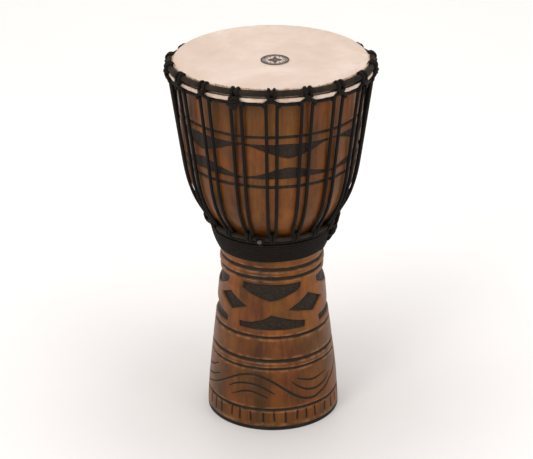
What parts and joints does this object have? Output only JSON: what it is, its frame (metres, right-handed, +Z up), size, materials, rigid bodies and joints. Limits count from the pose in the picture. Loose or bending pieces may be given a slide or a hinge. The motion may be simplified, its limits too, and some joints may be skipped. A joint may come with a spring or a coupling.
{
  "type": "djembe",
  "caption": "Rope-tuned goblet drum: carved wooden shell, goatskin head on a flesh ring, cloth-wrapped crown ring, cord loops and black rope laced to a ring at the waist.",
  "frame": {"origin": "centre of the foot on the floor", "axes": "+Z up the drum's axis to the head, front of the drum towards -Y"},
  "size_m": [0.334, 0.3382, 0.6198],
  "materials": {
    "wood": "stained and waxed",
    "goatskin": "bare hide",
    "rope": "braided polyester",
    "tape": "cotton tape",
    "steel": "plain rod",
    "rubber": "matt"
  },
  "bodies": {
    "drum": {"shell": "wood", "foot_tyre": "rubber", "goatskin_head": "goatskin", "long_rope": "rope", "bottom_ring": "steel", "bottom_loop_01": "rope", "bottom_loop_02": "rope", "bottom_loop_03": "rope", "bottom_loop_04": "rope", "bottom_loop_05": "rope", "bottom_loop_06": "rope", "bottom_loop_07": "rope", "bottom_loop_08": "rope", "bottom_loop_09": "rope", "bottom_loop_10": "rope", "bottom_loop_11": "rope", "bottom_loop_12": "rope", "bottom_loop_13": "rope", "bottom_loop_14": "rope", "bottom_loop_15": "rope", "bottom_loop_16": "rope", "bottom_loop_17": "rope", "bottom_loop_18": "rope", "waist_winding": "rope", "stopper_knot": "rope", "tie_off_end": "rope"},
    "rings": {"crown_ring": "steel", "crown_ring_wrap": "tape", "flesh_ring": "steel", "crown_loop_01": "rope", "crown_loop_02": "rope", "crown_loop_03": "rope", "crown_loop_04": "rope", "crown_loop_05": "rope", "crown_loop_06": "rope", "crown_loop_07": "rope", "crown_loop_08": "rope", "crown_loop_09": "rope", "crown_loop_10": "rope", "crown_loop_11": "rope", "crown_loop_12": "rope", "crown_loop_13": "rope", "crown_loop_14": "rope", "crown_loop_15": "rope", "crown_loop_16": "rope", "crown_loop_17": "rope", "crown_loop_18": "rope"}
  },
  "joints": [
    {"name": "tuning_draw", "type": "slide", "parent": "drum", "child": "rings", "axis": [0, 0, -1], "range_m": [0, 0.004], "deforming": ["goatskin_head", "long_rope"]}
  ]
}
